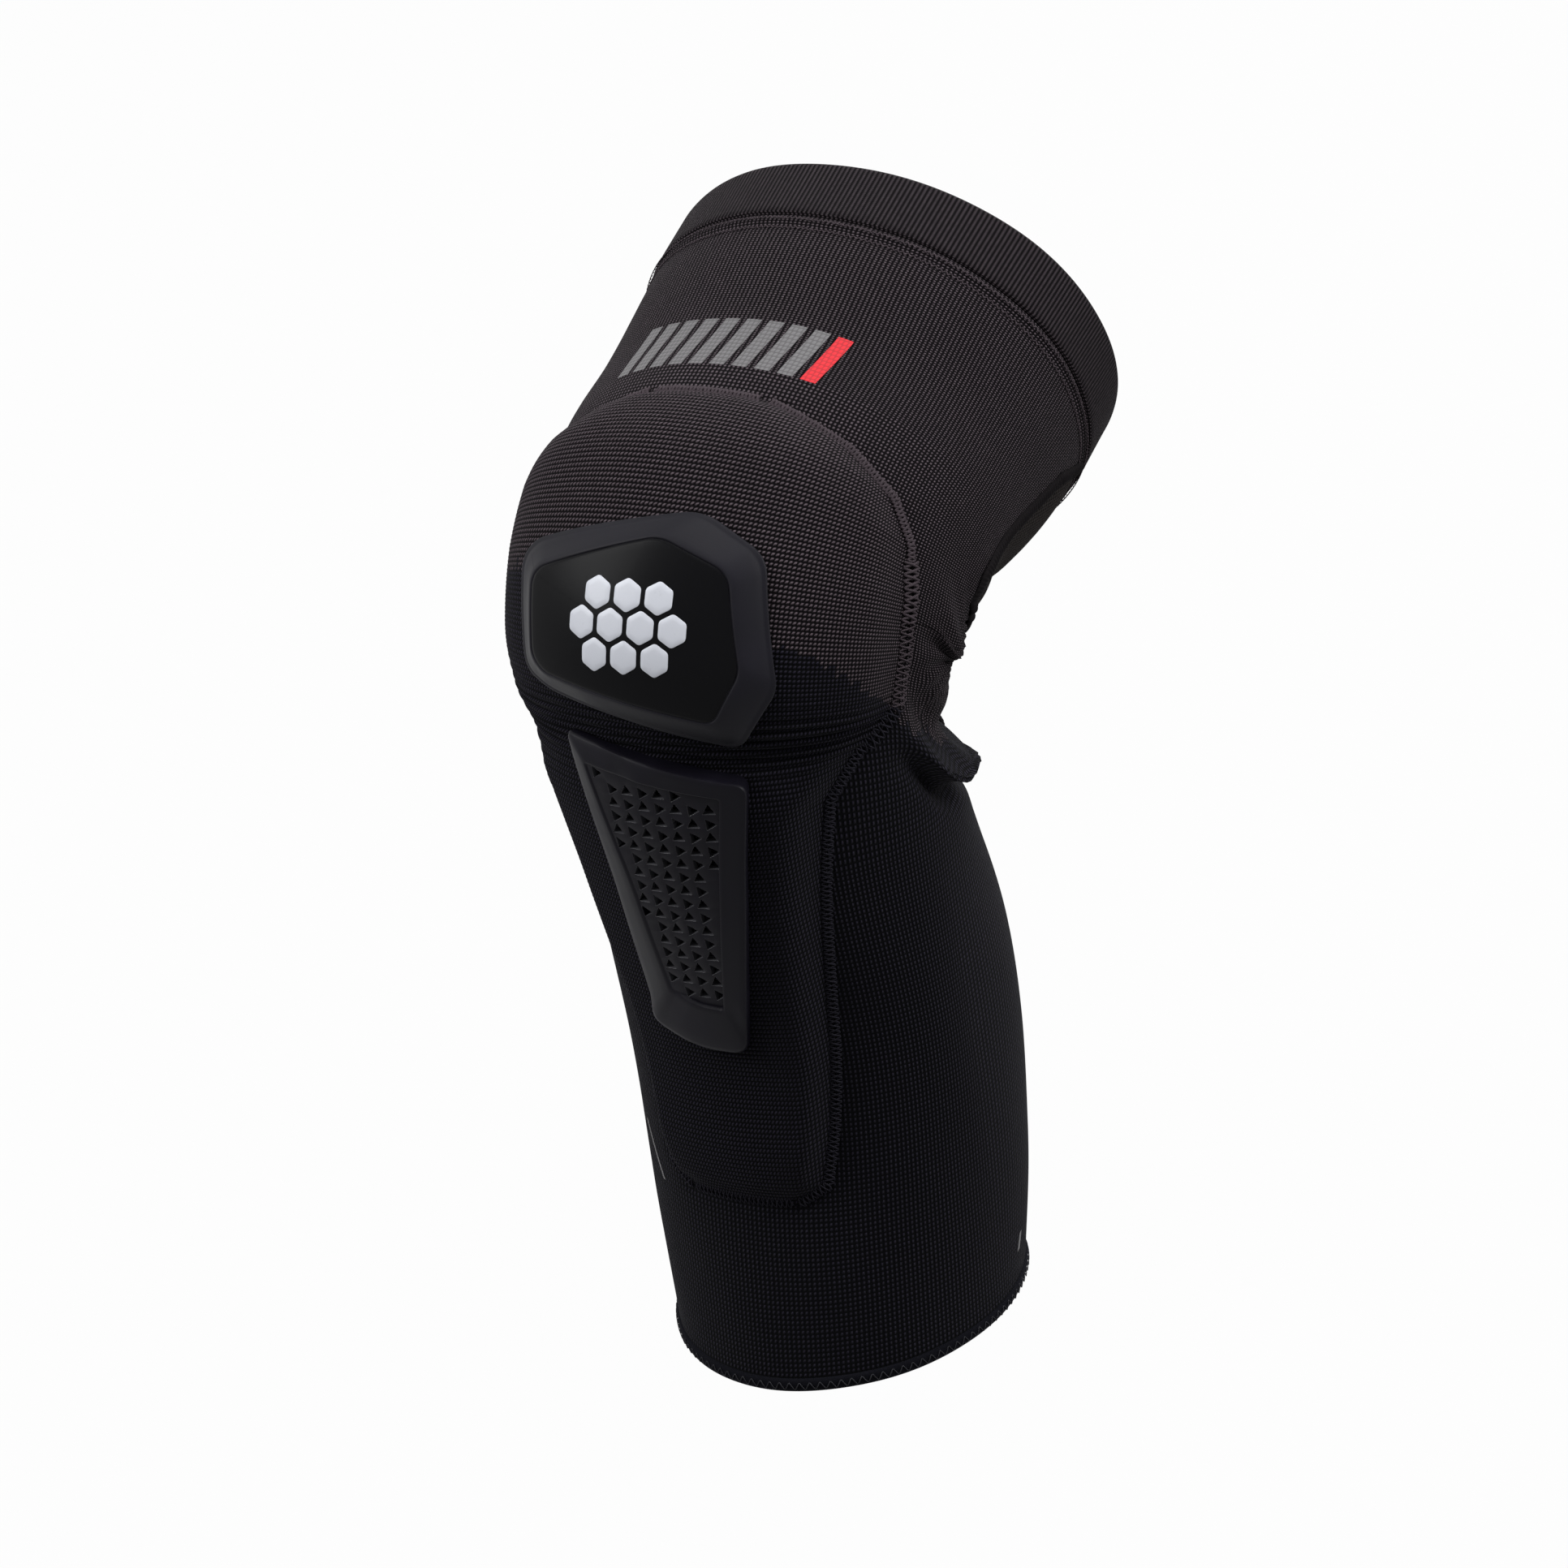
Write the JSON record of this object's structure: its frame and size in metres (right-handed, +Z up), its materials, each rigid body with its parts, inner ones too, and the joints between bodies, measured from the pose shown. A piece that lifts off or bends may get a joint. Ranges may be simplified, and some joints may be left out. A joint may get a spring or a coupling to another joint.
{
  "type": "knee guard",
  "caption": "Knit knee guard sleeve bent at the knee, with padded front pockets, a faceted knee cap and a vented shin plate.",
  "frame": {"origin": "centre of the calf opening, on the hem that the guard stands on", "axes": "+Z up the middle line of the shin, -Y out of the front of the knee, X across the leg"},
  "size_m": [0.145, 0.1843, 0.3267],
  "materials": {
    "black_knit": "ribbed elastic knit",
    "charcoal_knit": "pebbled elastic knit",
    "dark_mesh": "fine open mesh knit",
    "black_thread": "spun thread",
    "foam": "soft impact foam",
    "silicone": "smooth silicone",
    "moulded_black": "satin moulded elastomer",
    "gloss_black": "gloss",
    "grey_print": "flat print on knit",
    "light_grey_print": "flat print",
    "red_print": "flat print on knit"
  },
  "bodies": {
    "shin": {"calf_sleeve": "black_knit", "hem_band": "black_knit", "hem_stitching": "black_thread", "hem_grip": "silicone", "shin_pad": "foam", "shin_pocket": "black_knit", "shin_pocket_stitching": "black_thread", "shin_plate": "moulded_black", "shin_prints": "grey_print", "calf_rear_mesh": "dark_mesh", "calf_rear_binding": "black_thread"},
    "knee": {"knee_pad": "foam", "knee_pocket": "charcoal_knit", "knee_pocket_stitching": "black_thread", "knee_cap": "moulded_black", "cap_facet": "gloss_black", "cap_mark": "light_grey_print", "knee_sleeve": "charcoal_knit", "knee_rear_mesh": "dark_mesh", "knee_rear_binding": "black_thread"},
    "thigh": {"thigh_sleeve": "charcoal_knit", "thigh_rear_mesh": "dark_mesh", "thigh_rear_binding": "black_thread", "top_cuff": "charcoal_knit", "cuff_stitching": "black_thread", "cuff_grip": "silicone", "thigh_print_bars": "grey_print", "thigh_print_red": "red_print"}
  },
  "joints": [
    {"name": "pad_flex", "type": "hinge", "parent": "shin", "child": "knee", "pos_m": [0, -0.057, 0.203], "axis": [-1, 0, 0], "range_deg": [-15, 6], "stiffness_Nm_per_rad": 1, "springref_deg": -5.73, "deforming": ["knee_sleeve", "knee_rear_mesh", "knee_rear_binding"]},
    {"name": "knee_flex", "type": "hinge", "parent": "knee", "child": "thigh", "pos_m": [0, 0.046, 0.246], "axis": [-1, 0, 0], "range_deg": [-30, 12], "stiffness_Nm_per_rad": 0.5, "springref_deg": -2.29, "deforming": ["thigh_print_bars", "thigh_print_red"]}
  ],
  "couplings": [
    {"joint": "knee_flex", "follows": "pad_flex", "ratio": 2}
  ]
}
